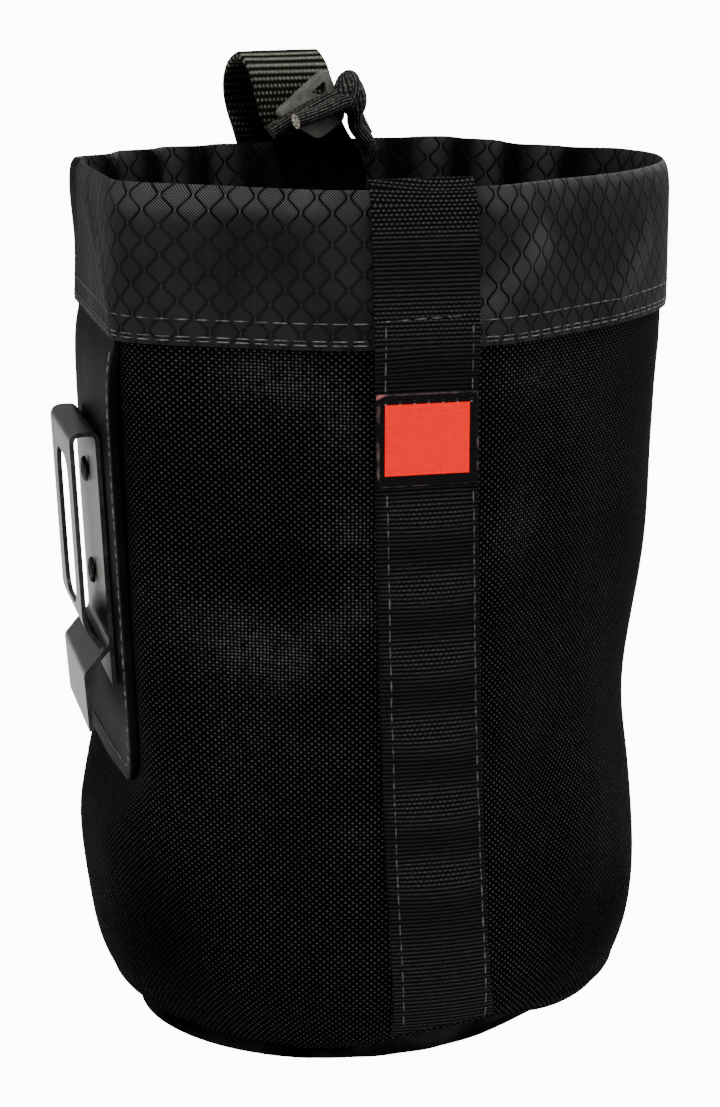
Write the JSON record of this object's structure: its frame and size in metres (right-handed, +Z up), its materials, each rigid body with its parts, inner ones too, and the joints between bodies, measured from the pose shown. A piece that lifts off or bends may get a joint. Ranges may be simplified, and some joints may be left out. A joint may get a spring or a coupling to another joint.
{
  "type": "tool bag",
  "caption": "Round soft tool bag with a ripstop drawcord cuff, a webbing strap down the front, a hang loop and a spring belt clip on a flat side panel.",
  "frame": {"origin": "on the floor at the foot of the bag's upright axis, on the underside of the base panel", "axes": "+Z up the bag's axis to the mouth, -Y to the front strap, -X to the belt clip, +Y to the hang loop"},
  "size_m": [0.1653, 0.1734, 0.2498],
  "materials": {
    "base_cloth": "coated cloth, matte",
    "wall_cloth": "coarse ballistic weave, matte",
    "ripstop": "ripstop with a faint sheen",
    "panel_leather": "smooth, satin",
    "clip_steel": "satin gunmetal",
    "rivet_steel": "dark, satin",
    "webbing": "ribbed webbing, matte",
    "label_cloth": "woven, matte",
    "cord": "braided, matte",
    "lock_plastic": "moulded, matte"
  },
  "bodies": {
    "root": {"base_panel": "base_cloth", "body_wall": "wall_cloth", "cuff": "ripstop", "side_panel": "panel_leather", "belt_clip": "clip_steel", "clip_rivet_upper": "rivet_steel", "clip_rivet_lower": "rivet_steel", "front_strap": "webbing", "label": "label_cloth", "hang_loop": "webbing", "drawcord": "cord", "cord_lock": "lock_plastic"}
  },
  "joints": []
}
